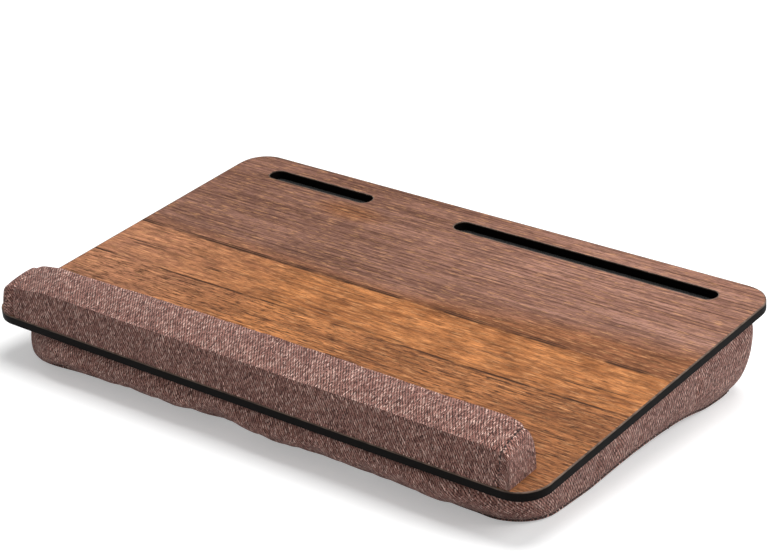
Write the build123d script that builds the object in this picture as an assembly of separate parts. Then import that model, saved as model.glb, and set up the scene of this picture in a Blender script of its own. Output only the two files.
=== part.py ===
from build123d import *
from math import asin, atan, cos, radians, sin, sqrt, tan
import os

# A laptop bed table: a flat board with two slots, a cloth wrist rest along its front edge
# and a wedge cushion below it. Lengths are in millimetres, angles in degrees.
# Row frame: origin on the floor at the centre of the overall box, +X right, +Y to the rear, +Z up.
# Board frame: origin on the board's lower front edge, y to the rear along the board,
# z out of the board's face. Floor frame: the same origin line, with y level and z from the floor.

# Board
board_width = 550.0
board_depth = 347.0
board_thickness = 8.0
board_corner_radius = 26.0
board_tilt = 7.09
front_height = 36.0
laminate_thickness = 0.5
edge_band_thickness = 1.0
edge_band_rounding = 0.6

# Slots, cut square through the board
slot_width = 18.0
slot_rear_margin = 29.3
phone_slot_length = 118.0
phone_slot_side_margin = 40.0
tablet_slot_length = 262.0
tablet_slot_side_margin = 38.5
slot_edging_thickness = 0.8

# Wrist rest, on the board's face
rest_side_margin = 20.0
rest_depth = 37.5
rest_front_margin = 0.5
rest_height = 38.0
rest_front_lean = 9.0
rest_front_bulge = 1.5
rest_top_slope = 9.0
rest_top_crown = 2.5
rest_front_rounding = 12.0
rest_back_rounding = 6.0
rest_end_run = 40.0
rest_end_fullness = 0.57
rest_end_inset = 3.0
rest_end_lip = 6.0
rest_seam_margin = 9.0
rest_cloth = 1.0
rest_base_thickness = 1.6
tape_thickness = 0.8
tape_end_margin = 20.0
tape_width = 20.0
tape_count = 3
tape_gap = 40.0

# Cushion outline where it is widest, and how far it draws in above and below that
cushion_side_margin = 16.5
cushion_front_overhang = 2.0
cushion_rear_overhang = 2.6
front_hollow_widest = 0.5
front_hollow_floor = 9.0
front_corner_radius = 62.0
rear_corner_radius = 26.0
widest_fraction = 0.72
front_undercut = 46.0
rear_undercut = 21.0
side_undercut_front = 1.0
side_undercut_rear = 12.0
top_draw = 4.0

# Cushion underside: two bolster crowns, cut flat where they rest, with an arch between them
front_crown_line = 76.0
rear_crown_margin = 50.0
arch_crown_span = 79.0
arch_height = 7.5
flat_depth = 0.5
crown_share = 0.4

# Cushion cloth and what holds it to the board
cushion_cloth = 1.2
top_panel_thickness = 3.6
seam_height = 5.0
divider_thickness = 1.2
strip_thickness = 1.2
strip_side_margin = 75.0
strip_width = 25.0
strip_front_margin = 40.0
strip_slot_gap = 14.0

# Numbers of loft sections
rounding_sections = 5
upper_sections = 2
rest_end_sections = 5

hinge_line = -front_height / tan(radians(board_tilt))
slot_line = board_depth - slot_rear_margin
phone_slot_centre = -board_width / 2 + phone_slot_side_margin + phone_slot_length / 2
tablet_slot_centre = board_width / 2 - tablet_slot_side_margin - tablet_slot_length / 2
rear_height = front_height + board_depth * sin(radians(board_tilt))
rest_length = board_width - 2 * rest_side_margin
tape_run = rest_length - 2 * tape_end_margin - (tape_count - 1) * tape_gap
tape_length = tape_run / tape_count
strip_length = board_width - 2 * strip_side_margin
cushion_half_width = board_width / 2 - cushion_side_margin
cushion_rear = board_depth * cos(radians(board_tilt)) + cushion_rear_overhang
rear_crown_line = cushion_rear - rear_crown_margin
arch_line = rear_crown_line - arch_crown_span
reach = 2 * (board_width + board_depth + rear_height)


def on_board(shape):
    """Moves a shape from the board frame to the floor frame."""
    return Location((0, 0, front_height), (board_tilt, 0, 0)) * shape


def board_band(low, high):
    """Everything between two heights in the board frame, as a large box."""
    box = Box(reach, reach, high - low, align=(Align.CENTER, Align.CENTER, Align.MIN))
    return on_board(Pos(0, 0, low) * box)


def board_plate(inset, low, high):
    """The board's rounded outline, drawn in by inset, between two heights in the board frame."""
    outline = RectangleRounded(
        board_width - 2 * inset,
        board_depth - 2 * inset,
        board_corner_radius - inset,
    )
    return Pos(0, board_depth / 2, low) * extrude(outline, high - low)


def slot_prism(centre, length, inset):
    """One slot's opening, drawn in by inset, through the whole board."""
    outline = SlotOverall(length - 2 * inset, slot_width - 2 * inset)
    return Pos(centre, slot_line, 0) * extrude(outline, board_thickness)


def without_slots(plate):
    phone = slot_prism(phone_slot_centre, phone_slot_length, 0)
    tablet = slot_prism(tablet_slot_centre, tablet_slot_length, 0)
    return plate - phone - tablet


def board_core():
    top = board_thickness - laminate_thickness
    plate = board_plate(edge_band_thickness, laminate_thickness, top)
    return on_board(without_slots(plate))


def top_laminate():
    plate = board_plate(edge_band_thickness, board_thickness - laminate_thickness, board_thickness)
    return on_board(without_slots(plate))


def backing_laminate():
    plate = board_plate(edge_band_thickness, 0, laminate_thickness)
    return on_board(without_slots(plate))


def edge_band():
    plate = board_plate(0, 0, board_thickness)
    rims = plate.faces().filter_by(Axis.Z).edges()
    plate = fillet(rims, edge_band_rounding)
    return on_board(plate - board_plate(edge_band_thickness, 0, board_thickness))


def slot_edging(centre, length):
    wall = slot_prism(centre, length, 0) - slot_prism(centre, length, slot_edging_thickness)
    return on_board(wall)


def rest_section(x, level, inset, skin):
    """The wrist rest's section at x, its height, slopes and roundings scaled by level."""
    front = rest_front_margin + inset + skin
    back = rest_front_margin + rest_depth - inset - skin
    foot_front = (front, 0)
    top_front = (front + rest_front_lean * level, (rest_height - rest_top_slope) * level - skin)
    top_back = (back, rest_height * level - skin)
    foot_back = (back, 0)
    front_middle = (
        front + (rest_front_lean / 2 - rest_front_bulge) * level,
        top_front[1] / 2,
    )
    top_middle = (
        (top_front[0] + back) / 2,
        (top_front[1] + top_back[1]) / 2 + rest_top_crown * level,
    )
    outline = make_face(
        [
            ThreePointArc(foot_front, front_middle, top_front),
            ThreePointArc(top_front, top_middle, top_back),
            Line(top_back, foot_back),
            Line(foot_back, foot_front),
        ]
    )
    ridge = outline.vertices().sort_by_distance(top_front)[0]
    outline = fillet(ridge, (rest_front_rounding - skin) * level)
    ridge = outline.vertices().sort_by_distance(top_back)[0]
    outline = fillet(ridge, (rest_back_rounding - skin) * level)
    plane = Plane(origin=(x, 0, board_thickness), x_dir=(0, 1, 0), z_dir=(1, 0, 0))
    return plane * outline.face()


def rest_form(skin):
    """The wrist rest as one crowned solid with rounded ends, drawn in by skin."""
    shoulder = rest_length / 2 - rest_end_run
    lowest = asin((rest_end_lip / rest_height) ** (1 / rest_end_fullness))
    ends = [(shoulder, 1, 0)]
    for index in range(1, rest_end_sections + 1):
        angle = radians(90) + (lowest - radians(90)) * index / rest_end_sections
        level = sin(angle) ** rest_end_fullness
        out = (rest_end_run - skin) * cos(angle) ** rest_end_fullness
        ends.append((shoulder + out, level, rest_end_inset * (1 - level)))
    right = [rest_section(x, level, inset, skin) for x, level, inset in ends]
    left = [rest_section(-x, level, inset, skin) for x, level, inset in ends]
    return loft([left[0], right[0]]) + loft(right) + loft(left)


def rest_slab():
    """The layer at the wrist rest's foot that the base panel takes up."""
    box = Box(reach, reach, rest_base_thickness, align=(Align.CENTER, Align.CENTER, Align.MIN))
    return Pos(0, 0, board_thickness) * box


def tape_strips():
    pitch = tape_length + tape_gap
    first = -(tape_count - 1) * pitch / 2
    strip = Box(tape_length, tape_width, tape_thickness, align=(Align.CENTER, Align.CENTER, Align.MIN))
    line = rest_front_margin + rest_depth / 2
    return [Pos(first + index * pitch, line, board_thickness) * strip for index in range(tape_count)]


def wrist_rest():
    """The wrist rest's pieces, in the floor frame."""
    outer = rest_form(0)
    inner = rest_form(rest_cloth)
    seam = rest_length / 2 - rest_seam_margin
    half = Box(reach, reach, reach, align=(Align.MIN, Align.CENTER, Align.CENTER))
    right_side = Pos(seam, 0, 0) * half
    left_side = Pos(-seam - reach, 0, 0) * half
    shell = outer - inner
    strips = tape_strips()
    return {
        "wrist_rest_foam": on_board(inner - rest_slab()),
        "wrist_rest_cover": on_board(shell - right_side - left_side),
        "wrist_rest_end_left": on_board(shell & left_side),
        "wrist_rest_end_right": on_board(shell & right_side),
        "wrist_rest_base_panel": on_board((inner & rest_slab()) - strips),
        "wrist_rest_tape": on_board(Compound(children=strips)),
    }


def fan_section(fraction, skin):
    """The cushion's outline on the plane at a fraction of its height, drawn in by skin."""
    below = max(0, widest_fraction - fraction) / (widest_fraction + flat_depth / front_height)
    under = 1 - sqrt(1 - below**2)
    above = max(0, fraction - widest_fraction) / (1 - widest_fraction)
    drawn = top_draw * above**2 + skin
    slope = atan(fraction * tan(radians(board_tilt)))
    front = (front_undercut * under - cushion_front_overhang + drawn - hinge_line) / cos(slope)
    rear = (cushion_rear - rear_undercut * under - drawn - hinge_line) / cos(slope)
    half_front = cushion_half_width - side_undercut_front * under - drawn
    half_rear = cushion_half_width - side_undercut_rear * under - drawn
    hollow = front_hollow_widest + (front_hollow_floor - front_hollow_widest) * under
    outline = make_face(
        [
            ThreePointArc((-half_front, front), (0, front + hollow), (half_front, front)),
            Line((half_front, front), (half_rear, rear)),
            Line((half_rear, rear), (-half_rear, rear)),
            Line((-half_rear, rear), (-half_front, front)),
        ]
    )
    front_radius = front_corner_radius - front_undercut * under - skin
    outline = fillet(outline.vertices().sort_by(Axis.Y)[:2], front_radius)
    outline = fillet(outline.vertices().sort_by(Axis.Y)[-2:], rear_corner_radius - skin)
    plane = Plane(origin=(0, hinge_line, 0), x_dir=(1, 0, 0), z_dir=(0, -sin(slope), cos(slope)))
    return plane * outline.face()


def fan_form(skin):
    """The cushion as a loft up a fan of planes, from the floor to the board's underside."""
    whole = widest_fraction + flat_depth / front_height
    steepest = asin(widest_fraction / whole)
    fractions = [0]
    for index in range(1, rounding_sections):
        fractions.append(widest_fraction - whole * sin(steepest * (1 - index / rounding_sections)))
    for index in range(upper_sections + 1):
        fractions.append(widest_fraction + (1 - widest_fraction) * index / upper_sections)
    return loft([fan_section(fraction, skin) for fraction in fractions])


def arch_side(crown_line):
    """Span and radii of the two arcs between a bolster's crown and the arch's crest."""
    span = abs(arch_line - crown_line)
    rise = arch_height + flat_depth
    radii = (span**2 + rise**2) / (2 * rise)
    return span, radii * crown_share, radii * (1 - crown_share)


def underside(y):
    """Height of the underside over the floor at y, before it is cut flat."""
    crown_line = front_crown_line if y < arch_line else rear_crown_line
    span, crown_radius, arch_radius = arch_side(crown_line)
    out = abs(y - crown_line)
    if out <= span * crown_share:
        return crown_radius - flat_depth - sqrt(crown_radius**2 - out**2)
    return arch_height - arch_radius + sqrt(arch_radius**2 - (span - out) ** 2)


def below_underside(lift):
    """Everything below the cushion's underside, raised by lift."""
    breaks = []
    for crown_line in (front_crown_line, rear_crown_line):
        span, crown_radius, arch_radius = arch_side(crown_line)
        flat_end = sqrt(crown_radius**2 - (crown_radius - flat_depth) ** 2)
        side = 1 if crown_line < arch_line else -1
        breaks += [crown_line + side * flat_end, crown_line + side * span * crown_share]
    breaks = sorted(breaks + [arch_line])
    arcs = []
    for start, end in zip(breaks, breaks[1:]):
        middle = (start + end) / 2
        points = [(y, underside(y) + lift) for y in (start, middle, end)]
        arcs.append(ThreePointArc(*points))
    corners = [
        (breaks[-1], lift),
        (reach, lift),
        (reach, -reach),
        (-reach, -reach),
        (-reach, lift),
        (breaks[0], lift),
    ]
    lines = [Line(start, end) for start, end in zip(corners, corners[1:])]
    profile = make_face(arcs + lines)
    plane = Plane(origin=(-reach / 2, 0, 0), x_dir=(0, 1, 0), z_dir=(1, 0, 0))
    return extrude(plane * profile, reach)


def strip_pair(low):
    """The front and rear fastening strips, with their lower faces at low in the board frame."""
    strip = Box(strip_length, strip_width, strip_thickness, align=(Align.CENTER, Align.CENTER, Align.MIN))
    front_line = strip_front_margin + strip_width / 2
    rear_line = slot_line - slot_width / 2 - strip_slot_gap - strip_width / 2
    return [Pos(0, line, low) * strip for line in (front_line, rear_line)]


def cushion():
    """The cushion's pieces and its fastening strips, in the floor frame."""
    outer = fan_form(0) - below_underside(0)
    inner = fan_form(cushion_cloth)
    hollow = inner - below_underside(cushion_cloth)
    shell = outer - hollow
    seam = below_underside(seam_height)
    hooks = strip_pair(-strip_thickness)
    loops = strip_pair(-2 * strip_thickness)
    panel_layer = board_band(-top_panel_thickness, reach)
    filling = hollow & board_band(-reach, -top_panel_thickness)
    divider = Pos(0, arch_line, 0) * Box(reach, divider_thickness, reach)
    front_side = Pos(0, arch_line - divider_thickness / 2, 0) * Box(
        reach, reach, reach, align=(Align.CENTER, Align.MAX, Align.CENTER)
    )
    rear_side = Pos(0, arch_line + divider_thickness / 2, 0) * Box(
        reach, reach, reach, align=(Align.CENTER, Align.MIN, Align.CENTER)
    )
    return {
        "cushion_top_panel": (hollow & panel_layer) - [on_board(strip) for strip in hooks + loops],
        "cushion_gusset": shell - seam,
        "cushion_bottom_panel": shell & seam,
        "cushion_divider": filling & divider,
        "front_bolster_filling": filling & front_side,
        "rear_bolster_filling": filling & rear_side,
        "cushion_hook_strips": on_board(Compound(children=hooks)),
        "cushion_loop_strips": on_board(Compound(children=loops)),
    }


def board():
    """The board's pieces, in the floor frame."""
    return {
        "board_core": board_core(),
        "top_laminate": top_laminate(),
        "backing_laminate": backing_laminate(),
        "edge_band": edge_band(),
        "phone_slot_edging": slot_edging(phone_slot_centre, phone_slot_length),
        "tablet_slot_edging": slot_edging(tablet_slot_centre, tablet_slot_length),
    }


pieces = {**board(), **wrist_rest(), **cushion()}
boxes = [piece.bounding_box() for piece in pieces.values()]
middle_line = (min(box.min.Y for box in boxes) + max(box.max.Y for box in boxes)) / 2
os.makedirs("parts", exist_ok=True)
for name, piece in pieces.items():
    export_step(Pos(0, -middle_line, 0) * piece, f"parts/{name}.step")
print("board's lower front edge lies at y =", round(-middle_line, 3))
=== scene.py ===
from math import asin, atan, cos, exp, hypot, pi, radians, sin, sqrt, tan

import bpy
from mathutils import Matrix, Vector, noise


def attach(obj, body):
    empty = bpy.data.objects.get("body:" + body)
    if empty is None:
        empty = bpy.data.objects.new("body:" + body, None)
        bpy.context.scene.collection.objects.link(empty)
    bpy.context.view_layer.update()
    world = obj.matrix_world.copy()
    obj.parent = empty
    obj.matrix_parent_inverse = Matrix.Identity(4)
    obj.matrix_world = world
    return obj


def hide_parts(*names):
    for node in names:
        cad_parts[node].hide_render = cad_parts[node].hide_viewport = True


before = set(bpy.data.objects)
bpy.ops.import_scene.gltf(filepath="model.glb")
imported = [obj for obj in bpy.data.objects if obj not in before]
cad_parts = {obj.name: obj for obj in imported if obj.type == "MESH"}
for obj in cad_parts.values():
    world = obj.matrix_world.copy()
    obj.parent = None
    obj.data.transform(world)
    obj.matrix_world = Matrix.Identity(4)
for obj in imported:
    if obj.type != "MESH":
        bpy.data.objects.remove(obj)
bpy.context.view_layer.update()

# Lengths are in millimetres until they become mesh points. Floor frame: y = 0 at the board's
# lower front edge. Board frame: the same origin at board height, tilted with the board.
MM = 0.001
front_line = -172.587
board_tilt = radians(7.09)
board_thickness = 8.0
front_height = 36.0
hinge_line = -front_height / tan(board_tilt)

# Wrist rest
rest_half_length = 255.0
rest_front_margin = 0.5
rest_depth = 37.5
rest_height = 38.0
rest_front_lean = 6.0
rest_front_bulge = 1.5
rest_ridge_height = 28.5
rest_ridge_power = 0.4
rest_ridge_low_slope = 1.516
rest_ridge_limit = 0.95
rest_top_crown = 2.5
rest_front_rounding = 4.5
rest_back_rounding = 6.0
rest_end_run = 40.0
rest_end_fullness = 0.57
rest_end_inset = 3.0
rest_end_lip = 6.0
rest_seam_margin = 9.0
rest_seam_strip = 8.0
rest_lift = 0.1
rest_panel_thickness = 1.6
rest_swing = 0.7
rest_left_bulge = 5.0
rest_right_bulge = 0.6
seam_depth = 1.1
cover_seam_run = 2.8
end_seam_run = 2.5
left_slump = 3.2
left_slump_from = 208.0
left_slump_run = 30.0
foam_skin = 3.0

# Cushion
cushion_half_width = 258.5
cushion_front_overhang = 2.0
cushion_rear = 346.95
front_hollow_widest = 0.5
front_hollow_floor = 9.0
front_corner_radius = 62.0
rear_corner_radius = 26.0
widest_fraction = 0.72
front_undercut = 46.0
rear_undercut = 21.0
side_undercut_front = 1.0
side_undercut_rear = 12.0
top_draw = 4.0
front_crown_line = 76.0
rear_crown_line = 296.95
arch_line = 217.95
arch_height = 7.5
flat_depth = 0.5
crown_share = 0.4
rear_bulge = 4.0
rear_bulge_from = 250.0
rear_bulge_run = 70.0
side_bulge_from = 215.0
side_bulge_run = 40.0
cushion_middle = 175.0
plan_stretch = 1.45

# The cushion's lower seam, side wall and underside
seam_lift = 4.0
seam_slow_drop = 1.6
seam_quick_drop = 0.7
groove_depth = 1.6
groove_rows = 1.5
side_top_fraction = 0.995
hem_insets = (5.0, 12.0)
hem_drop = 0.4
bottom_middle = 190.0
bottom_half_spine = 170.0
bottom_rise_run = 13.0

# The front settles most at its lower seam, and nothing behind settling_rear settles. Each row is a
# place where the seam stands behind its even line: its middle, its half width and how far.
settling_rear = 125.0
settling_run = 60.0
front_settling = (
    (-245.0, 32.0, -8.5), (-190.0, 40.0, -3.0), (-24.0, 27.0, 9.0),
    (75.0, 24.0, 5.0), (122.0, 45.0, 7.5), (205.0, 30.0, 3.0),
)

# Inside the cushion
top_panel_thickness = 3.6
top_panel_inset = 1.4
top_panel_edge = 0.8
top_panel_gap = 0.1
filling_skin = 4.0
filling_height = 0.90
filling_rounding = 9.0
filling_lump = 1.2
filling_lump_run = 30.0
front_filling_reach = (20.0, arch_line - 2.0)
rear_filling_reach = (arch_line + 2.0, 400.0)

# Stitches
stitch_length = 3.2
stitch_gap = 1.1
stitch_start = 0.5
thread_radius = 0.5
thread_lift = 1.3
thread_sides = 6
end_stitch_lean = 0.3

# Mesh density
front_points = 110
corner_points = 16
side_points = 64
cushion_columns = 2 * (front_points + side_points) + 4 * corner_points
gusset_rows = 16
fan_levels = 60
front_run_points = 12
rounding_points = 12
top_run_points = 16
back_run_points = 12
cover_columns = 130
weld_distance = 0.05

# Cloth simulation
cloth_frames = 20
cloth_settings = {
    "quality": 6,
    "mass": 0.3,
    "tension_stiffness": 40,
    "compression_stiffness": 40,
    "shear_stiffness": 15,
    "bending_stiffness": 1.5,
    "vertex_group_mass": "pinned",
    "use_pressure": True,
    "uniform_pressure_force": 3.0,
}


def to_row(x, y, z):
    """A point of the floor frame as a point of the scene."""
    return Vector((x, y + front_line, z)) * MM


def from_board(x, y, z):
    """A point of the board frame as a point of the scene."""
    level_y = y * cos(board_tilt) - z * sin(board_tilt)
    return to_row(x, level_y, front_height + y * sin(board_tilt) + z * cos(board_tilt))


def ripple(x, y, z, seed):
    """Smooth noise from -1 to 1 at a point."""
    return noise.noise(Vector((x, y, z + 100.0 * seed)))


def path_length(points):
    """Running length along a row of points, in millimetres."""
    lengths = [0.0]
    for start, end in zip(points, points[1:]):
        lengths.append(lengths[-1] + (end - start).length / MM)
    return lengths


def spread(start, end, count):
    """count values from start to end, both included."""
    return [start + (end - start) * index / (count - 1) for index in range(count)]


# Meshes
def add_mesh(name, points, faces):
    """A smooth-shaded object from points and faces."""
    mesh = bpy.data.meshes.new(name)
    mesh.from_pydata(points, [], faces)
    mesh.polygons.foreach_set("use_smooth", [True] * len(mesh.polygons))
    piece = bpy.data.objects.new(name, mesh)
    bpy.context.scene.collection.objects.link(piece)
    return piece


def sheet_mesh(name, rows, across, along, closed=False):
    """A mesh of rows of points. across and along give each point's place on the flat cloth."""
    width = len(rows[0])
    points = [point for row in rows for point in row]
    faces = []
    places = []
    last = width if closed else width - 1
    for r in range(len(rows) - 1):
        for c in range(last):
            d = (c + 1) % width
            faces.append((r * width + c, r * width + d, (r + 1) * width + d, (r + 1) * width + c))
            for row, column in ((r, c), (r, c + 1), (r + 1, c + 1), (r + 1, c)):
                places.append((across[row][column] * MM, along[row][column] * MM))
    piece = add_mesh(name, points, faces)
    layer = piece.data.uv_layers.new(name="weave")
    for loop, place in zip(layer.data, places):
        loop.uv = place
    return piece


def closed_stack(name, rings, middles):
    """A closed form from rings of points, its first and last ring drawn in to middle points."""
    rows = [[middles[0]] * len(rings[0])] + rings + [[middles[1]] * len(rings[0])]
    half_way = rings[len(rings) // 2]
    around = path_length(half_way + half_way[:1])
    lengths = path_length([row[0] for row in rows])
    across = [around for row in rows]
    along = [[length] * len(around) for length in lengths]
    piece = sheet_mesh(name, rows, across, along, closed=True)
    weld(piece)
    return piece


def keep_result(piece):
    """Applies the piece's modifiers."""
    depsgraph = bpy.context.evaluated_depsgraph_get()
    mesh = bpy.data.meshes.new_from_object(piece.evaluated_get(depsgraph))
    piece.modifiers.clear()
    piece.data = mesh
    mesh.name = piece.name


def smooth_once(piece):
    """Divides each of the piece's faces in four and rounds the form."""
    subdivision = piece.modifiers.new("subdivision", "SUBSURF")
    subdivision.levels = 1
    subdivision.render_levels = 1
    keep_result(piece)


def weld(piece):
    """Joins the piece's coinciding points."""
    welding = piece.modifiers.new("weld", "WELD")
    welding.merge_threshold = weld_distance * MM
    keep_result(piece)


def swell(pieces, cap, spare_cloth):
    """Runs cloth simulations with pressure, and keeps each point within cap of its start."""
    for piece, pinned in pieces:
        group = piece.vertex_groups.new(name="pinned")
        group.add(sorted(pinned), 1, "REPLACE")
        cloth = piece.modifiers.new("cloth", "CLOTH")
        for key, value in cloth_settings.items():
            setattr(cloth.settings, key, value)
        cloth.settings.shrink_min = -spare_cloth
        cloth.settings.effector_weights.gravity = 0
        cloth.point_cache.frame_start = 1
        cloth.point_cache.frame_end = cloth_frames
    scene = bpy.context.scene
    for number in range(1, cloth_frames + 1):
        scene.frame_set(number)
    depsgraph = bpy.context.evaluated_depsgraph_get()
    limit = cap * MM
    for piece, pinned in pieces:
        moved = piece.evaluated_get(depsgraph).data.vertices
        places = [vertex.co.copy() for vertex in moved]
        piece.modifiers.clear()
        piece.vertex_groups.clear()
        for vertex, place in zip(piece.data.vertices, places):
            step = place - vertex.co
            if step.length > 0:
                step *= limit * (1 - 1 / (1 + step.length / limit)) / step.length
            vertex.co += step
    scene.frame_set(1)


# Cushion
def board_underside(y):
    """Height of the board's underside over the floor."""
    return (y - hinge_line) * tan(board_tilt)


def underside(y):
    """Height of the cushion's underside over the floor."""
    crown_line = front_crown_line if y < arch_line else rear_crown_line
    span = abs(arch_line - crown_line)
    rise = arch_height + flat_depth
    radii = (span**2 + rise**2) / (2 * rise)
    crown_radius = radii * crown_share
    arch_radius = radii * (1 - crown_share)
    out = (y - crown_line) * (1 if crown_line < arch_line else -1)
    if out <= 0:
        return 0.0
    if out <= span * crown_share:
        return max(0.0, crown_radius - flat_depth - sqrt(crown_radius**2 - out**2))
    return arch_height - arch_radius + sqrt(arch_radius**2 - (span - out) ** 2)


def fan_outline(fraction, skin=0.0):
    """Points of the cushion's outline on the plane at a fraction of its height."""
    below = max(0.0, widest_fraction - fraction) / (widest_fraction + flat_depth / front_height)
    under = 1 - sqrt(1 - min(1.0, below) ** 2)
    above = max(0.0, fraction - widest_fraction) / (1 - widest_fraction)
    drawn = top_draw * above**2 + skin
    slope = atan(fraction * tan(board_tilt))
    front = (front_undercut * under - cushion_front_overhang + drawn - hinge_line) / cos(slope)
    rear = (cushion_rear - rear_undercut * under - drawn - hinge_line) / cos(slope)
    half_front = cushion_half_width - side_undercut_front * under - drawn
    half_rear = cushion_half_width - side_undercut_rear * under - drawn
    hollow = front_hollow_widest + (front_hollow_floor - front_hollow_widest) * under
    front_radius = front_corner_radius - front_undercut * under - skin
    rear_radius = rear_corner_radius - skin
    front_end = half_front - front_radius
    rear_end = half_rear - rear_radius

    def half_width(along):
        return half_front + (half_rear - half_front) * (along - front) / (rear - front)

    def hollowed(x):
        return front + hollow * (1 - (x / half_front) ** 2)

    def front_corner(turn):
        along = front + front_radius * (1 - cos(turn))
        x = front_end + front_radius * sin(turn)
        x += (half_width(along) - half_front) * sin(turn)
        return x, along + (hollowed(front_end) - front) * cos(turn)

    def rear_corner(turn):
        return half_rear - rear_radius * (1 - cos(turn)), rear - rear_radius * (1 - sin(turn))

    turns = [pi / 2 * index / corner_points for index in range(corner_points)]
    right = [(x, hollowed(x)) for x in spread(-front_end, front_end, front_points + 1)[:-1]]
    right += [front_corner(turn) for turn in turns]
    for along in spread(front + front_radius, rear - rear_radius, side_points + 1)[:-1]:
        right.append((half_width(along), along))
    right += [rear_corner(turn) for turn in turns]
    back = [(x, rear) for x in spread(rear_end, -rear_end, front_points + 1)[:-1]]
    left = [(-rear_end, rear)]
    left += [(-x, along) for x, along in reversed(right[-corner_points + 1:])]
    for along in spread(rear - rear_radius, front + front_radius, side_points + 1)[:-1]:
        left.append((-half_width(along), along))
    for index in range(corner_points):
        x, along = front_corner(pi / 2 * (1 - index / corner_points))
        left.append((-x, along))
    outline = right + back + left
    return [(x, hinge_line + along * cos(slope), along * sin(slope)) for x, along in outline]


def rear_fullness(x, y, z):
    """How far the rear corners' cloth stands out beyond the even outline."""
    back = min(1.0, max(0.0, (y - rear_bulge_from) / rear_bulge_run))
    height = z / board_underside(y)
    side = min(1.0, max(0.0, (abs(x) - side_bulge_from) / side_bulge_run))
    return rear_bulge * back * side * sin(pi * min(1.0, max(0.0, height * 0.95))) ** 0.8


fan_table = {}


def fan_ring(index, skin):
    """The outline at one of the fan's evenly spaced fractions, kept for the next call."""
    key = (index, skin)
    if key not in fan_table:
        fan_table[key] = fan_outline(index / fan_levels, skin)
    return fan_table[key]


def fan_point(column, fraction, skin=0.0):
    """A point of the cushion's side in one column, at any fraction of its height."""
    place = min(max(fraction, 0.0), 1.0) * fan_levels
    low = min(int(place), fan_levels - 1)
    share = place - low
    start = fan_ring(low, skin)[column]
    end = fan_ring(low + 1, skin)[column]
    return tuple(a + (b - a) * share for a, b in zip(start, end))


def fraction_at(column, lift, skin=0.0):
    """The fraction at which a column stands lift above the underside, found in a few rounds."""
    fraction = 0.1
    for attempt in range(6):
        y = fan_point(column, fraction, skin)[1]
        fraction = (underside(y) + lift) / board_underside(y)
    return fraction


def settled(x, y, z, row):
    """A point of the even form after the cushion has settled. row counts from the lower seam."""
    low = 1 - min(1.0, max(0.0, z / board_underside(y)))
    front = min(1.0, max(0.0, (settling_rear - y) / settling_run))
    shift = sum(depth * exp(-(((x - middle) / run) ** 2)) for middle, run, depth in front_settling)
    moved_x = x + rear_fullness(x, y, z) * (1 if x > 0 else -1)
    moved_y = y + shift * low * front
    inward = Vector((-x, (cushion_middle - y) * plan_stretch)).normalized()
    step = inward * groove_depth * max(0.0, 1 - row / groove_rows)
    return moved_x + step.x, moved_y + step.y, z


def seam_drop(x, y):
    """How far the lower seam wanders from its even line."""
    slow = ripple(x / 90.0, y / 90.0, 0.0, 1)
    quick = ripple(x / 23.0, y / 23.0, 0.0, 2)
    return seam_slow_drop * slow + seam_quick_drop * quick


def seam_fraction(column):
    """The fraction at which a column meets the lower seam."""
    even = fraction_at(column, seam_lift)
    x, y, z = fan_point(column, even)
    return even + seam_drop(x, y) / board_underside(y)


def gusset_cloth():
    """The cushion's side wall, from the seam up to the board, with a hem turned in at the top."""
    rows = [[] for index in range(gusset_rows + len(hem_insets))]
    for column in range(cushion_columns):
        start = seam_fraction(column)
        for index, share in enumerate(spread(0, 1, gusset_rows)):
            fraction = start + (side_top_fraction - start) * share
            x, y, z = fan_point(column, fraction)
            rows[index].append(to_row(*settled(x, y, z, index)))
        for index, inset in enumerate(hem_insets):
            x, y, z = fan_point(column, 1.0, inset)
            rows[gusset_rows + index].append(to_row(x, y, z - hem_drop))
    half_way = rows[gusset_rows // 2]
    around = path_length(half_way + half_way[:1])
    across = [around for row in rows]
    heights = [path_length(column) for column in zip(*rows)]
    along = [list(row) + [row[0]] for row in zip(*heights)]
    return sheet_mesh("cushion_side_cloth", rows, across, along, closed=True)


def bottom_target(column):
    """Where on the underside's middle line the cloth from a column of the seam ends."""
    right_end = front_points + 2 * corner_points + side_points
    if column <= front_points:
        return bottom_half_spine * (2 * column / front_points - 1)
    if column < right_end:
        return bottom_half_spine
    if column <= right_end + front_points:
        return bottom_half_spine * (1 - 2 * (column - right_end) / front_points)
    return -bottom_half_spine


def bottom_cloth():
    """The cushion's underside, from the seam in to its middle line."""
    steps = [0.0, 0.006, 0.015, 0.03, 0.05, 0.075, 0.105, 0.14, 0.18, 0.23, 0.29, 0.36, 0.44]
    steps += [0.52, 0.6, 0.68, 0.76, 0.84, 0.92, 1.0]
    rows = [[] for share in steps]
    across = [[] for share in steps]
    along = [[] for share in steps]
    for column in range(cushion_columns):
        x0, y0, z0 = fan_point(column, seam_fraction(column))
        target = bottom_target(column)
        reach = hypot(target - x0, bottom_middle - y0)
        for index, share in enumerate(steps):
            x = x0 + (target - x0) * share
            y = y0 + (bottom_middle - y0) * share
            into = min(1.0, reach * share / bottom_rise_run)
            edge = 1 - sqrt(1 - (1 - into) ** 2)
            z = underside(y) + (z0 - underside(y0)) * edge
            x, y, z = settled(x, y, max(z, 0.0), index)
            rows[index].append(to_row(x, y, z))
            across[index].append(x)
            along[index].append(y)
    for row in across + along:
        row.append(row[0])
    turned = [[list(reversed(row)) for row in table] for table in (rows, across, along)]
    return sheet_mesh("cushion_underside_cloth", *turned, closed=True)


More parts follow.
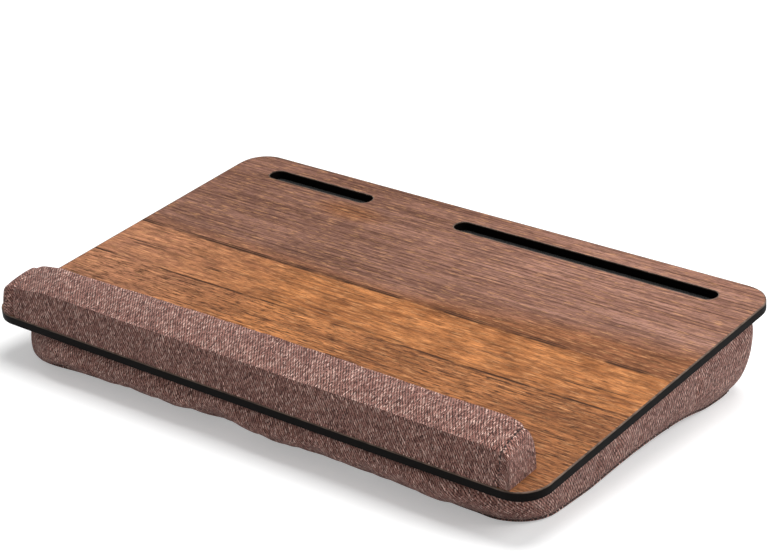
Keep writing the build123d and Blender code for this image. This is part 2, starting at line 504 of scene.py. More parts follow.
def filling_form(name, low_y, high_y):
    """Loose filling inside the cushion between two lines, a little lumpy."""
    rings = []
    for level in spread(0.0, 1.0, 9):
        ring = []
        round_off = filling_rounding * (1 - sqrt(max(0.0, 1 - (2 * level - 1) ** 2)))
        for column in range(0, cushion_columns, 4):
            lowest = fraction_at(column, filling_skin, filling_skin)
            x, y, z = fan_point(column, lowest + (filling_height - lowest) * level, filling_skin)
            y = min(max(y, low_y + round_off), high_y - round_off)
            x -= round_off * (1 if x > 0 else -1) * 0.6
            run = filling_lump_run
            lump = filling_lump * ripple(x / run, y / run, z / run, 3)
            low_z = underside(y) + filling_skin
            z = low_z + (board_underside(y) * filling_height - underside(y) - filling_skin) * level
            ring.append(to_row(x, y + lump, z + lump))
        rings.append(ring)
    middle_y = (low_y + high_y) / 2
    floor_middle = to_row(0, middle_y, underside(middle_y) + filling_skin)
    top_middle = to_row(0, middle_y, board_underside(middle_y) * filling_height)
    return closed_stack(name, rings, (floor_middle, top_middle))


def top_panel():
    """The padded black cloth below the board."""
    shares = (0.0, 0.06, 0.2, 0.4, 0.6, 0.8, 0.92, 1.0)
    rings = []
    for side, height in ((-1, -top_panel_thickness), (1, -top_panel_gap)):
        layer = []
        for share in shares:
            ring = []
            for column in range(cushion_columns):
                x, y, z = fan_point(column, 1.0, top_panel_inset)
                x = x * (1 - share)
                y = y + (cushion_middle - y) * share
                edge = top_panel_edge if share == 0 else 0.0
                ring.append(from_board(x, y / cos(board_tilt), height - side * edge))
            layer.append(ring)
        rings += list(reversed(layer)) if side == -1 else layer
    low = from_board(0, cushion_middle / cos(board_tilt), -top_panel_thickness)
    high = from_board(0, cushion_middle / cos(board_tilt), -top_panel_gap)
    return closed_stack("cushion_top_cloth", rings, (low, high))


# Wrist rest
def bent_line(start, pull, end, count):
    """Points along a line from start to end that is pulled towards a third point."""
    points = []
    for share in spread(0, 1, count):
        points.append(start * (1 - share) ** 2 + pull * 2 * share * (1 - share) + end * share**2)
    return points


def rounded_corner(before, corner, after, radius, count):
    """Points of a rounded corner between two straight neighbours."""
    into = (corner - before).normalized()
    out = (after - corner).normalized()
    turn = into.angle(out)
    reach = min(radius * tan(turn / 2), (corner - before).length * 0.9, (after - corner).length * 0.9)
    return bent_line(corner - into * reach, corner, corner + out * reach, count)


def arc_points(start, middle, end, count):
    """Points along a shallow arc through three points."""
    return bent_line(start, middle * 2 - (start + end) / 2, end, count)


def resample(points, count):
    """count evenly spaced points along a line, without its last one."""
    lengths = [0.0]
    for start, end in zip(points, points[1:]):
        lengths.append(lengths[-1] + (end - start).length)
    result = []
    for wanted in spread(0, lengths[-1], count + 1)[:-1]:
        index = max(i for i, length in enumerate(lengths[:-1]) if length <= wanted)
        share = (wanted - lengths[index]) / max(lengths[index + 1] - lengths[index], 1e-9)
        result.append(points[index].lerp(points[index + 1], share))
    return result


def rest_outline(level, inset, skin=0.0):
    """The wrist rest's section in the board frame, from its front foot over the top to its back foot."""
    front = rest_front_margin + inset + skin
    back = rest_front_margin + rest_depth - inset - skin
    foot_front = Vector((front, rest_lift))
    if level > 0.5:
        ridge_height = rest_ridge_height * level**rest_ridge_power
    else:
        ridge_height = rest_ridge_height * rest_ridge_low_slope * level
    ridge_height = min(ridge_height, rest_height * level * rest_ridge_limit)
    top_front = Vector((front + rest_front_lean * level, ridge_height - skin))
    top_back = Vector((back, rest_height * level - skin))
    foot_back = Vector((back, rest_lift))
    front_middle = (foot_front + top_front) / 2 + Vector((-rest_front_bulge * level, 0))
    top_middle = (top_front + top_back) / 2 + Vector((0, rest_top_crown * level))
    front_run = arc_points(foot_front, front_middle, top_front, front_run_points * 2)
    top_run = arc_points(top_front, top_middle, top_back, top_run_points * 2)
    ridge = rounded_corner(front_run[-4], top_front, top_run[4], rest_front_rounding * level, rounding_points)
    edge = rounded_corner(top_run[-4], top_back, foot_back, rest_back_rounding * level, rounding_points)
    lower = [p for p in front_run if p.y < ridge[0].y] + [ridge[0]]
    upper = [ridge[-1]] + [p for p in top_run if ridge[-1].x < p.x < edge[0].x] + [edge[0]]
    points = resample(lower, front_run_points) + resample(ridge, rounding_points)
    points += resample(upper, top_run_points) + resample(edge, rounding_points)
    points += resample([edge[-1], foot_back], back_run_points) + [foot_back]
    return points


def rest_level(x):
    """How high the wrist rest stands at x, as a share of its full height."""
    shoulder = rest_half_length - rest_end_run
    out = min(1.0, max(0.0, (abs(x) - shoulder) / rest_end_run))
    power = 2 / rest_end_fullness
    return (1 - out**power) ** (1 / power)


def rest_point(x, point):
    """A point of the wrist rest's section at x, with the rest a little lower at its left end."""
    out = min(1.0, max(0.0, (-x - left_slump_from) / left_slump_run))
    drop = left_slump * out * out * (3 - 2 * out) * max(0.0, point.y) / rest_height
    return from_board(x, point.x, board_thickness + point.y - drop)


def seam_draw(distance, run):
    """How far cloth is drawn in by an end seam at a distance from it."""
    return seam_depth * max(0.0, 1 - distance / run) ** 2


def rest_cover():
    """The wrist rest's wrapped cloth, between its two end seams."""
    seam = rest_half_length - rest_seam_margin
    inner = seam - rest_seam_strip
    places = spread(-seam, -inner, 7)[:-1] + spread(-inner, inner, cover_columns) + spread(inner, seam, 7)[1:]
    rows = []
    for x in places:
        level = rest_level(x)
        draw = seam_draw(seam - abs(x), cover_seam_run)
        outline = rest_outline(level, rest_end_inset * (1 - level), draw)
        row = []
        for index, point in enumerate(outline):
            free = sin(pi * index / (len(outline) - 1))
            swing = rest_swing * ripple(x / 46.0, index / 14.0, 0.0, 4) * free
            row.append(rest_point(x, point + Vector((0, swing))))
        rows.append(row)
    lengths = path_length(rows[len(rows) // 2])
    across = [[x] * len(lengths) for x in places]
    along = [lengths for row in rows]
    return sheet_mesh("wrist_rest_cloth", rows, across, along)


def rest_end(name, side, fullness):
    """A sewn end panel of the wrist rest. fullness is how far it stands out in its middle."""
    seam = rest_half_length - rest_seam_margin
    lowest = (rest_end_lip / rest_height) ** (1 / rest_end_fullness)
    start_level = rest_level(seam)
    start_angle = asin(start_level ** (1 / rest_end_fullness))
    angles = spread(start_angle, asin(lowest), 18)
    levels = [sin(angle) ** rest_end_fullness for angle in angles] + [0.1]
    rows = []
    for level in levels:
        out = rest_end_run * cos(asin(level ** (1 / rest_end_fullness))) ** rest_end_fullness
        x = rest_half_length - rest_end_run + out
        x += fullness * sin(pi * (1 - min(1.0, level / start_level)) ** 0.45)
        draw = seam_draw((start_level - level) * rest_height, end_seam_run)
        outline = rest_outline(level, rest_end_inset * (1 - level), draw)
        rows.append([rest_point(side * x, point) for point in outline])
    rows.append([rest_point(side * x, Vector((point.x, rest_lift))) for point in outline])
    if side < 0:
        rows = [list(reversed(row)) for row in rows]
    middle = len(rows[0]) // 2
    across = []
    for row in rows:
        lengths = path_length(row)
        across.append([length - lengths[middle] for length in lengths])
    depths = [path_length(column) for column in zip(*rows)]
    along = [list(row) for row in zip(*depths)]
    return sheet_mesh(name, rows, across, along)


def foam_form():
    """The foam bar inside the wrist rest's cloth."""
    half = rest_half_length - rest_seam_margin - 2.0
    rings = []
    for x in spread(-half, half, 40):
        level = rest_level(x)
        ring = []
        for point in rest_outline(level, rest_end_inset * (1 - level), foam_skin):
            height = max(point.y, rest_panel_thickness + 0.2)
            ring.append(rest_point(x, Vector((point.x, height))))
        rings.append(ring)
    middles = []
    for x in (-half - 1.0, half + 1.0):
        height = rest_height * rest_level(x) * 0.5
        middles.append(from_board(x, rest_front_margin + rest_depth / 2, board_thickness + height))
    return closed_stack("wrist_rest_filling", rings, middles)


# Stitches
def stitches(name, path, outward):
    """A row of sewn stitches along a path, each a short thread that dips in at both ends."""
    lengths = path_length(path)
    bows = ((0.0, 0.35), (0.2, 0.85), (0.5, 1.0), (0.8, 0.85), (1.0, 0.35))
    points = []
    faces = []

    def place_at(length):
        index = 0
        while index < len(path) - 2 and lengths[index + 1] < length:
            index += 1
        share = (length - lengths[index]) / max(lengths[index + 1] - lengths[index], 1e-6)
        return path[index].lerp(path[index + 1], share)

    start = stitch_start
    while start + stitch_length < lengths[-1]:
        first = place_at(start)
        last = place_at(start + stitch_length)
        run = (last - first).normalized()
        lift = outward(first)
        out = (lift - run * lift.dot(run)).normalized()
        aside = run.cross(out)
        base = len(points)
        for share, bow in bows:
            height = thread_lift * bow - thread_radius
            middle = place_at(start + stitch_length * share) + out * height * MM
            radius = thread_radius * bow * MM
            for side in range(thread_sides):
                turn = 2 * pi * side / thread_sides
                points.append(middle + (out * cos(turn) + aside * sin(turn)) * radius)
        for ring in range(len(bows) - 1):
            for side in range(thread_sides):
                a = base + ring * thread_sides + side
                b = base + ring * thread_sides + (side + 1) % thread_sides
                faces.append((a, b, b + thread_sides, a + thread_sides))
        last_ring = base + (len(bows) - 1) * thread_sides
        faces.append(tuple(base + side for side in reversed(range(thread_sides))))
        faces.append(tuple(last_ring + side for side in range(thread_sides)))
        start += stitch_length + stitch_gap
    return add_mesh(name, points, faces)


# Materials
class Graph:
    """A short way to write a material's nodes."""

    def __init__(self, name):
        self.material = bpy.data.materials.new(name)
        self.material.use_nodes = True
        self.tree = self.material.node_tree
        self.shader = self.tree.nodes["Principled BSDF"]

    def node(self, kind, **settings):
        made = self.tree.nodes.new(kind)
        for key, value in settings.items():
            setattr(made, key, value)
        return made

    def put(self, socket, value):
        if isinstance(value, bpy.types.NodeSocket):
            self.tree.links.new(value, socket)
        elif isinstance(value, tuple) and socket.type == "RGBA":
            socket.default_value = (*value, 1)
        else:
            socket.default_value = value

    def math(self, operation, first, second=0.0, clamp=False):
        made = self.node("ShaderNodeMath", operation=operation, use_clamp=clamp)
        for socket, value in zip(made.inputs, (first, second)):
            self.put(socket, value)
        return made.outputs[0]

    def total(self, first, *others):
        for value in others:
            first = self.math("ADD", first, value)
        return first

    def less(self, first, second):
        return self.math("SUBTRACT", first, second)

    def product(self, first, *others):
        for value in others:
            first = self.math("MULTIPLY", first, value)
        return first

    def mix(self, factor, first, second, blend="MIX"):
        made = self.node("ShaderNodeMix", data_type="RGBA", blend_type=blend)
        for index, value in ((0, factor), (6, first), (7, second)):
            self.put(made.inputs[index], value)
        return made.outputs[2]

    def shaded(self, color, level):
        return self.mix(1.0, color, self.vector(level, level, level), "MULTIPLY")

    def ramp(self, value, stops):
        made = self.node("ShaderNodeValToRGB")
        elements = made.color_ramp.elements
        while len(elements) < len(stops):
            elements.new(0.5)
        for element, (place, color) in zip(elements, stops):
            element.position = place
            element.color = (*color, 1)
        self.put(made.inputs[0], value)
        return made.outputs[0]

    def noise(self, vector, scale, detail=2.0, rough=0.5):
        made = self.node("ShaderNodeTexNoise")
        self.put(made.inputs["Vector"], vector)
        made.inputs["Scale"].default_value = scale
        made.inputs["Detail"].default_value = detail
        made.inputs["Roughness"].default_value = rough
        return made.outputs["Fac"]

    def chance(self, x, y, z):
        """An even random value from 0 to 1 for each place."""
        made = self.node("ShaderNodeTexWhiteNoise", noise_dimensions="3D")
        self.put(made.inputs["Vector"], self.vector(x, y, z))
        return made.outputs["Value"]

    def vector(self, x, y, z):
        made = self.node("ShaderNodeCombineXYZ")
        for socket, value in zip(made.inputs, (x, y, z)):
            self.put(socket, value)
        return made.outputs[0]

    def parts(self, vector):
        made = self.node("ShaderNodeSeparateXYZ")
        self.put(made.inputs[0], vector)
        return made.outputs

    def stretched(self, vector, scale=(1, 1, 1), rotation=(0, 0, 0), location=(0, 0, 0)):
        made = self.node("ShaderNodeMapping")
        self.put(made.inputs["Vector"], vector)
        made.inputs["Scale"].default_value = scale
        made.inputs["Rotation"].default_value = rotation
        made.inputs["Location"].default_value = location
        return made.outputs[0]

    def object_place(self):
        return self.node("ShaderNodeTexCoord").outputs["Object"]

    def remap(self, value, low, high, to_low=0.0, to_high=1.0):
        made = self.node("ShaderNodeMapRange")
        self.put(made.inputs[0], value)
        for index, number in ((1, low), (2, high), (3, to_low), (4, to_high)):
            made.inputs[index].default_value = number
        return made.outputs[0]

    def bump(self, height, distance):
        made = self.node("ShaderNodeBump")
        made.inputs["Distance"].default_value = distance
        self.put(made.inputs["Height"], height)
        return made.outputs[0]

    def finish(self, color, roughness, normal=None, **sockets):
        self.put(self.shader.inputs["Base Color"], color)
        self.put(self.shader.inputs["Roughness"], roughness)
        if normal:
            self.put(self.shader.inputs["Normal"], normal)
        for name, value in sockets.items():
            self.put(self.shader.inputs[name.replace("_", " ")], value)
        return self.material


twill_rise = 1.5
twill_repeat = 3.0
tint_repeat = 0.37


def woven(name, colors, pitch, shine, flat=True):
    """Steep twill of two yarn systems, each short stretch of yarn with its own tint.

    pitch is in millimetres. The yarns follow the flat cloth, or the body's axes where flat is false.
    """
    graph = Graph(name)
    mix, remap = graph.mix, graph.remap
    total, less, product = graph.total, graph.less, graph.product
    body = graph.object_place()
    place = graph.node("ShaderNodeUVMap", uv_map="weave").outputs[0] if flat else body
    scale = (1000 / pitch, 1000 / pitch / twill_rise, 1)
    u, v = graph.parts(graph.stretched(place, scale=scale))[:2]

    def strayed(value, per_metre, reach):
        stray = less(graph.noise(body, per_metre), 0.5)
        return total(value, product(stray, reach))

    def arch(value):
        return graph.math("SINE", product(graph.math("FRACT", value), pi))

    u = strayed(strayed(u, 45.0, 5.0), 700.0, 0.7)
    v = strayed(v, 560.0, 0.9)
    column = graph.math("FLOOR", u)
    row = graph.math("FLOOR", v)
    step = graph.math("FLOORED_MODULO", total(column, row), twill_repeat)
    upright = graph.math("LESS_THAN", step, 1.5)
    first_row = less(row, step)

    column_arch = arch(u)
    float_place = product(total(step, graph.math("FRACT", v)), pi / 2)
    column_ends = graph.math("POWER", graph.math("ABSOLUTE", graph.math("SINE", float_place)), 0.5)
    row_ends = graph.math("POWER", column_arch, 0.5)
    height = graph.math("POWER", mix(upright, arch(v), column_arch), 0.6)
    height = product(height, mix(upright, row_ends, column_ends))

    dark, low, high, light = colors
    column_tint = graph.chance(column, graph.math("FLOOR", product(first_row, tint_repeat)), 1.0)
    row_tint = graph.chance(graph.math("FLOOR", product(u, tint_repeat)), row, 2.0)
    column_color = graph.ramp(column_tint, [(0.0, low), (0.35, high), (0.7, high), (1.0, light)])
    row_color = graph.ramp(row_tint, [(0.0, dark), (0.55, dark), (0.85, low), (1.0, high)])
    color = mix(upright, row_color, column_color)
    float_tint = graph.chance(column, first_row, upright)
    float_color = graph.ramp(float_tint, [(0.0, dark), (0.5, low), (0.72, high), (1.0, light)])
    color = mix(0.3, color, float_color)
    cloud = graph.noise(body, 18.0, 3.0)
    color = mix(remap(cloud, 0.35, 0.7, 0.0, 0.15), color, low)

    fuzz = graph.noise(body, 2200.0, 3.0, 0.7)
    # Painted shade: the colour is darkened in the gaps between yarns and lightened on their crowns, and
    # varied at random by the fuzz.
    painted_yarn_shade = remap(height, 0.0, 1.0, 0.2, 1.38)
    color = graph.shaded(color, product(painted_yarn_shade, remap(fuzz, 0.3, 0.7, 0.6, 1.4)))
    relief = total(height, product(fuzz, 0.5))
    rough = remap(fuzz, 0.3, 0.7, 0.82, 0.96)
    return graph.finish(color, rough, graph.bump(relief, pitch * 0.3 * MM), Sheen_Weight=shine,
                        Sheen_Roughness=0.6, Specular_IOR_Level=0.12)


# The wood print's two joints, in metres along the board from the scene's middle.
front_joint = -0.0400
rear_joint = 0.0202
joint_blur = 0.0006


def wood_material():
    """Rustic wood print: planks along X, golden at the front and grey-brown with long lines at the rear."""
    graph = Graph("wood_print")
    mix, remap = graph.mix, graph.remap
    total, less, product = graph.total, graph.less, graph.product
    level = graph.stretched(graph.object_place(), rotation=(-board_tilt, 0, 0))
    x, y = graph.parts(level)[:2]

    def streaks(across, along, detail, place=0.0, rough=0.6):
        """Noise with its own count of marks per metre in each direction."""
        spot = graph.stretched(level, scale=(across, along, 1.0), location=(place, place * 0.7, 0.0))
        return graph.noise(spot, 1.0, detail, rough)

    def plank(across, along, place, dark, light):
        return mix(remap(streaks(across, along, 3.0, place), 0.34, 0.66), dark, light)

    def waves(per_metre, wander, reach):
        """Lines along the planks, where wander bends them. The value runs from -1 to 1."""
        phase = total(product(y, 2 * pi * per_metre), product(wander, reach))
        return graph.math("SINE", phase)

    # Planks
    wander = less(streaks(4.0, 9.0, 3.0, 11.0), 0.5)
    bent = total(y, product(wander, 0.006))
    shifted = total(y, product(wander, 0.045))
    second = remap(bent, front_joint - joint_blur, front_joint + joint_blur)
    third = remap(bent, rear_joint - joint_blur, rear_joint + joint_blur)
    later = product(graph.math("MAXIMUM", x, 0.0), 0.14)
    rear = remap(less(shifted, later), 0.016, 0.040)
    not_rear = less(1.0, rear)
    color = plank(9.0, 50.0, 21.0, (0.25, 0.092, 0.035), (0.58, 0.230, 0.080))
    color = mix(remap(x, 0.10, 0.24, 0.0, 0.5), color, (0.21, 0.078, 0.032))
    color = mix(second, color, plank(26.0, 70.0, 22.0, (0.28, 0.100, 0.033), (0.57, 0.225, 0.076)))
    color = mix(third, color, plank(9.0, 60.0, 23.0, (0.18, 0.066, 0.029), (0.31, 0.120, 0.052)))
    rear_light = plank(5.0, 55.0, 24.0, (0.26, 0.125, 0.090), (0.41, 0.215, 0.160))
    rear_dark = plank(5.0, 55.0, 24.0, (0.12, 0.054, 0.036), (0.25, 0.122, 0.088))
    color = mix(rear, color, mix(remap(x, 0.10, -0.08, 0.0, 0.6), rear_light, rear_dark))

    # A pinkish left end, and a warm patch between the slots
    pink = product(remap(x, -0.07, -0.24), not_rear, 0.45)
    color = mix(pink, color, (0.46, 0.235, 0.165))
    aside = graph.math("POWER", product(total(x, 0.12), 28.0), 2.0)
    above = graph.math("POWER", product(less(y, 0.124), 75.0), 2.0)
    warm = remap(total(aside, above), 0.2, 1.6, 0.7, 0.0)
    color = mix(warm, color, (0.27, 0.098, 0.030))

    # Year rings at the front, and fine even lines at the rear
    rings = product(remap(waves(170.0, streaks(12.0, 34.0, 3.0, 7.0), 24.0), 0.0, 0.95),
                    remap(streaks(7.0, 26.0, 2.0, 5.0), 0.42, 0.58), not_rear)
    color = mix(product(rings, 0.55), color, (0.140, 0.054, 0.026))
    comb = product(remap(waves(215.0, streaks(2.2, 14.0, 2.0, 17.0), 14.0), 0.1, 0.95), rear,
                   remap(streaks(9.0, 120.0, 2.0, 15.0), 0.40, 0.56))
    color = mix(product(comb, 0.75), color, (0.070, 0.031, 0.022))
    long_lines = remap(streaks(7.0, 480.0, 2.0, 12.0, 0.5), 0.50, 0.62)
    line_share = product(long_lines, remap(rear, 0.0, 1.0, 0.25, 0.5))
    color = mix(line_share, color, (0.085, 0.038, 0.025))

    # Grain, pale streaks, pores and mottle
    grain = streaks(75.0, 640.0, 3.0, 2.0, 0.7)
    grain_share = product(remap(grain, 0.47, 0.63), remap(second, 0.0, 1.0, 1.0, 0.5), 0.95)
    color = mix(grain_share, color, (0.070, 0.028, 0.015))
    pale = streaks(60.0, 560.0, 3.0, 9.0, 0.7)
    color = mix(remap(pale, 0.53, 0.68, 0.0, 0.45), color, (0.74, 0.38, 0.17))
    pores = remap(streaks(110.0, 1500.0, 2.0, 4.0), 0.55, 0.64, 0.0, 0.6)
    color = mix(pores, color, (0.050, 0.021, 0.012))
    mottle = remap(streaks(30.0, 230.0, 4.0, 41.0, 0.7), 0.36, 0.64, -0.30, 0.30)
    mottle = total(1.0, product(mottle, remap(rear, 0.0, 1.0, 1.0, 0.35)))
    color = graph.shaded(color, mottle)

    # Cracks and joints
    cracks = product(remap(streaks(11.0, 210.0, 2.0, 31.0, 0.5), 0.665, 0.70), less(1.0, product(rear, 0.7)))
    color = mix(product(cracks, 0.85), color, (0.032, 0.014, 0.009))
    joints = 0.0
    for line, width in ((front_joint, 0.0016), (rear_joint, 0.0020), (rear_joint + 0.0026, 0.0009)):
        near = graph.math("ABSOLUTE", less(bent, line))
        cut = remap(near, width * 0.3, width, 1.0, 0.0)
        joints = graph.math("MAXIMUM", joints, cut)
    joints = product(joints, remap(streaks(16.0, 3.0, 3.0, 6.0), 0.40, 0.52))
    color = mix(product(joints, 0.9), color, (0.030, 0.013, 0.008))

    dark = total(product(grain, 0.6), joints, product(long_lines, 0.4))
    relief = less(product(pale, 0.5), total(dark, cracks))
    rough = remap(grain, 0.3, 0.7, 0.52, 0.68)
    return graph.finish(color, rough, graph.bump(relief, 0.00015), Specular_IOR_Level=0.1)


def band_material():
    """Satin black plastic band with fine scuffs, and a pale line along its top that is painted highlight of
    the arris, with some wear.
    """
    graph = Graph("black_band")
    place = graph.object_place()
    height = graph.parts(graph.stretched(place, rotation=(-board_tilt, 0, 0)))[2]
    top = (front_height * cos(board_tilt) - front_line * sin(board_tilt) + board_thickness) * MM
    # Painted highlight: the top 1.2 mm of the band is painted pale, in patches, where its arris catches the
    # light.
    line = graph.remap(height, top - 0.0012, top - 0.0004)
    patchy_highlight = graph.remap(graph.noise(place, 130.0, 3.0), 0.35, 0.6, 0.45, 1.0)
    scuffs = graph.noise(graph.stretched(place, scale=(60.0, 60.0, 900.0)), 1.0, 3.0, 0.6)
    scuff_share = graph.remap(scuffs, 0.45, 0.75, 0.0, 0.5)
    color = graph.mix(scuff_share, (0.004, 0.0032, 0.003), (0.010, 0.008, 0.007))
    color = graph.mix(graph.product(line, patchy_highlight, 0.9), color, (0.20, 0.14, 0.11))
    rough = graph.remap(scuffs, 0.3, 0.7, 0.5, 0.64)
    return graph.finish(color, rough, graph.bump(scuffs, 0.00003), Specular_IOR_Level=0.04)


def speckled(name, color, other, scale, depth, rough=0.85, sheen=0.0):
    """A fine-grained material, such as raw board, foam or felt."""
    graph = Graph(name)
    place = graph.object_place()
    coarse = graph.noise(place, scale, 4.0, 0.65)
    fine = graph.noise(place, scale * 4.3)
    mixed = graph.total(graph.product(coarse, 0.6), graph.product(fine, 0.4))
    shade = graph.mix(graph.remap(mixed, 0.35, 0.65), color, other)
    roughness = graph.remap(mixed, 0.3, 0.7, rough - 0.08, rough + 0.05)
    return graph.finish(shade, roughness, graph.bump(mixed, depth), Sheen_Weight=sheen)


tweed_colors = ((0.018, 0.006, 0.005), (0.140, 0.054, 0.043), (0.42, 0.198, 0.158), (0.96, 0.65, 0.55))
black_colors = ((0.006, 0.006, 0.006), (0.010, 0.010, 0.010), (0.018, 0.018, 0.018), (0.03, 0.03, 0.03))
tweed = woven("heather_tweed", tweed_colors, 0.85, shine=0.12)
black_cloth = woven("black_cloth", black_colors, 0.8, shine=0.1, flat=False)
wood = wood_material()
band = band_material()
backing = speckled("black_laminate", (0.014, 0.013, 0.013), (0.025, 0.024, 0.023), 700.0, 0.00004, 0.6)
fibreboard = speckled("fibreboard", (0.36, 0.24, 0.14), (0.50, 0.36, 0.23), 500.0, 0.0001)
foam = speckled("foam", (0.62, 0.58, 0.47), (0.76, 0.72, 0.60), 420.0, 0.0004)
fibre = speckled("fibre_filling", (0.78, 0.78, 0.76), (0.92, 0.92, 0.90), 160.0, 0.0008, 0.9, 0.3)
tape = speckled("adhesive_tape", (0.68, 0.68, 0.64), (0.78, 0.78, 0.74), 300.0, 0.0001, 0.7)
hooks = speckled("hook_tape", (0.012, 0.012, 0.012), (0.03, 0.03, 0.03), 1100.0, 0.0004, 0.6)
loops = speckled("loop_tape", (0.015, 0.015, 0.015), (0.04, 0.04, 0.04), 800.0, 0.0005, 0.95, 0.4)
thread = speckled("sewing_thread", (0.014, 0.007, 0.006), (0.035, 0.018, 0.015), 900.0, 0.0001, 0.8, 0.2)

node_materials = (
    (fibreboard, ("board_core",)),
    (wood, ("top_laminate",)),
    (backing, ("backing_laminate",)),
    (band, ("edge_band", "phone_slot_edging", "tablet_slot_edging")),
    (tweed, ("wrist_rest_cover", "wrist_rest_end_left", "wrist_rest_end_right")),
    (tweed, ("cushion_gusset", "cushion_bottom_panel")),
    (black_cloth, ("wrist_rest_base_panel", "cushion_top_panel", "cushion_divider")),
    (foam, ("wrist_rest_foam",)),
    (tape, ("wrist_rest_tape",)),
    (fibre, ("front_bolster_filling", "rear_bolster_filling")),
    (hooks, ("cushion_hook_strips",)),
    (loops, ("cushion_loop_strips",)),
)
for material, names in node_materials:
    for name in names:
        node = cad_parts[name]
        node.data.materials.clear()
        node.data.materials.append(material)


# Soft pieces
def add(piece, material, slot, *nodes, fill=None):
    """Gives a piece its material and body, and hides the nodes that it stands for. slot is not used."""
    piece.data.materials.clear()
    piece.data.materials.append(material)
    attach(piece, "root")
    if nodes:
        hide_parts(*nodes)


side_cloth = gusset_cloth()
under_cloth = bottom_cloth()
rest_cloth = rest_cover()
left_end = rest_end("wrist_rest_left_end_cloth", -1, rest_left_bulge)
right_end = rest_end("wrist_rest_right_end_cloth", 1, rest_right_bulge)

# Seams and hems are pinned, and so is the wrist rest's ridge.
hem_start = (gusset_rows - 1) * cushion_columns
side_pins = set(range(cushion_columns)) | set(range(hem_start, len(side_cloth.data.vertices)))
section = len(rest_outline(1.0, 0.0))
ridge = front_run_points + rounding_points // 2
rest_count = len(rest_cloth.data.vertices)
rest_pins = set(range(section)) | set(range(rest_count - section, rest_count))
for place in (0, ridge, section - 1):
    rest_pins |= set(range(place, rest_count, section))
end_count = len(left_end.data.vertices)
end_pins = set(range(section)) | set(range(end_count - section, end_count))
for place in (0, section - 1):
    end_pins |= set(range(place, end_count, section))
swell([(side_cloth, side_pins)], cap=3.5, spare_cloth=0.02)
swell([(rest_cloth, rest_pins)], cap=2.5, spare_cloth=0.012)
swell([(left_end, end_pins), (right_end, end_pins)], cap=2.0, spare_cloth=0.01)


def edge_path(piece, start, end):
    """The points of one row of a piece's mesh."""
    return [vertex.co.copy() for vertex in piece.data.vertices[start:end]]


left_path = edge_path(left_end, end_count - section, end_count)
right_path = edge_path(right_end, 0, section)
cushion_path = edge_path(side_cloth, 0, cushion_columns)
cushion_path.append(cushion_path[0])
weld(under_cloth)
for piece in (side_cloth, rest_cloth, left_end, right_end, under_cloth):
    smooth_once(piece)

seams = (
    ("left_end_stitches", left_path, lambda point: Vector((-end_stitch_lean, 0, 1))),
    ("right_end_stitches", right_path, lambda point: Vector((end_stitch_lean, 0, 1))),
    ("cushion_seam_stitches", cushion_path, lambda point: Vector((point.x, point.y * plan_stretch, 0))),
)
for name, path, outward in seams:
    add(stitches(name, path, outward), thread, "heather_cloth")

add(side_cloth, tweed, "heather_cloth", "cushion_gusset", fill=0.6)
add(under_cloth, tweed, "heather_cloth", "cushion_bottom_panel", fill=0.6)
add(rest_cloth, tweed, "heather_cloth", "wrist_rest_cover", fill=0.8)
add(left_end, tweed, "heather_cloth", "wrist_rest_end_left", fill=0.8)
add(right_end, tweed, "heather_cloth", "wrist_rest_end_right", fill=0.8)
add(foam_form(), foam, "foam", "wrist_rest_foam", fill=0.9)
add(top_panel(), black_cloth, "black_cloth", "cushion_top_panel", fill=0.5)
front_filling = filling_form("front_filling", *front_filling_reach)
add(front_filling, fibre, "fibre_filling", "front_bolster_filling", fill=0.6)
rear_filling = filling_form("rear_filling", *rear_filling_reach)
add(rear_filling, fibre, "fibre_filling", "rear_bolster_filling", fill=0.6)

# Floor, light and camera
floor_half_size = 3.0
light_aim = (0, 0, 0.05)
key_power = 19
top_power = 40
world_level = 0.30
camera_sensor = 36
camera_lens = 109.354
camera_place = Vector((1.08869, -1.37414, 0.81317))
camera_aim = Vector((0.00359, 0.00570, 0.08612))


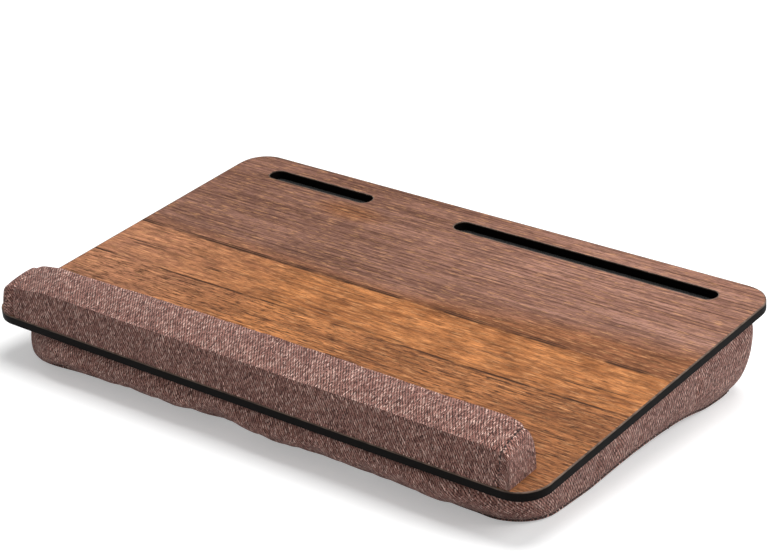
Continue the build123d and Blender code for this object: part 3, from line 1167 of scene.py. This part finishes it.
def floor_material():
    """A pale matt floor that looks white to the camera but keeps the object's shadow."""
    graph = Graph("floor")
    speck = graph.noise(graph.object_place(), 40.0)
    rays = graph.node("ShaderNodeLightPath")
    seen = graph.total(rays.outputs["Is Camera Ray"], rays.outputs["Is Glossy Ray"])
    seen = graph.math("ADD", seen, rays.outputs["Is Transmission Ray"], clamp=True)
    tone = graph.mix(speck, (0.80, 0.80, 0.80), (0.82, 0.82, 0.82))
    tone = graph.mix(seen, (0.68, 0.68, 0.68), tone)
    graph.finish(tone, 0.9, Specular_IOR_Level=0.1)
    glow = graph.node("ShaderNodeEmission")
    glow.inputs["Color"].default_value = (1, 1, 1, 1)
    x, y = graph.parts(graph.object_place())[:2]
    away = graph.math("SQRT", graph.total(graph.product(x, x), graph.product(y, y)))
    level = graph.remap(away, 0.8, 1.8, 0.36, 1.0)
    graph.put(glow.inputs["Strength"], graph.product(seen, level))
    both = graph.node("ShaderNodeAddShader")
    graph.put(both.inputs[0], graph.shader.outputs[0])
    graph.put(both.inputs[1], glow.outputs[0])
    output = graph.tree.nodes["Material Output"]
    graph.put(output.inputs["Surface"], both.outputs[0])
    return graph.material


def make_floor():
    half = floor_half_size
    corners = [(-half, -half, 0), (half, -half, 0), (half, half, 0), (-half, half, 0)]
    floor = add_mesh("floor", corners, [(0, 1, 2, 3)])
    floor.data.materials.append(floor_material())


def area_light(name, place, size, power):
    data = bpy.data.lights.new(name, "AREA")
    data.shape = "DISK"
    data.size = size
    data.energy = power
    lamp = bpy.data.objects.new(name, data)
    lamp.location = place
    lamp.rotation_euler = (Vector(light_aim) - Vector(place)).to_track_quat("-Z", "Y").to_euler()
    bpy.context.scene.collection.objects.link(lamp)


def make_world():
    """An even pale sky that looks white to the camera."""
    world = bpy.data.worlds.new("studio")
    bpy.context.scene.world = world
    world.use_nodes = True
    tree = world.node_tree
    background = tree.nodes["Background"]
    background.inputs["Color"].default_value = (1, 1, 1, 1)
    rays = tree.nodes.new("ShaderNodeLightPath")
    level = tree.nodes.new("ShaderNodeMapRange")
    level.inputs["To Min"].default_value = world_level
    level.inputs["To Max"].default_value = 1.0
    tree.links.new(rays.outputs["Is Camera Ray"], level.inputs[0])
    tree.links.new(level.outputs[0], background.inputs["Strength"])


def make_camera():
    data = bpy.data.cameras.new("camera")
    data.sensor_width = camera_sensor
    data.lens = camera_lens
    camera = bpy.data.objects.new("camera", data)
    camera.location = camera_place
    camera.rotation_euler = (camera_aim - camera_place).to_track_quat("-Z", "Y").to_euler()
    bpy.context.scene.collection.objects.link(camera)
    bpy.context.scene.camera = camera


make_floor()
area_light("key", (1.7, 0.4, 1.4), size=1.2, power=key_power)
area_light("top", (0.15, 0.3, 2.0), size=1.6, power=top_power)
make_world()
make_camera()
bpy.context.scene.view_settings.view_transform = "Standard"
